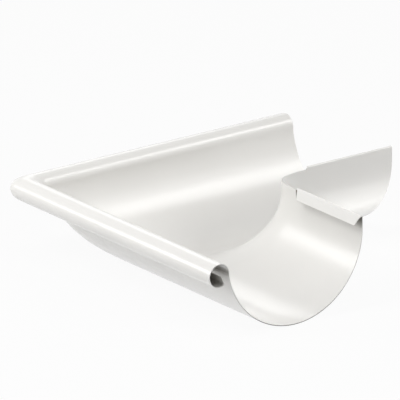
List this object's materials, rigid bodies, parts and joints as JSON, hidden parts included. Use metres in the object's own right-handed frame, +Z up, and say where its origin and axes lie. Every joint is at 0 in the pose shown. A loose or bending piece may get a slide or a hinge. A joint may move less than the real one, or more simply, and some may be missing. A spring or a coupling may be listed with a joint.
{
  "type": "external gutter corner",
  "caption": "Right-angle outside corner for a half-round roof gutter: an open steel trough with a rolled front bead and hems folded along its back edges.",
  "frame": {"origin": "on the underside, where the centre lines of the troughs cross", "axes": "+X and +Y along the two runs towards their open ends, +Z up"},
  "size_m": [0.2574, 0.2574, 0.0728],
  "materials": {
    "coated_steel": "satin white coat"
  },
  "bodies": {
    "root": {"gutter_corner": "coated_steel"}
  },
  "joints": []
}
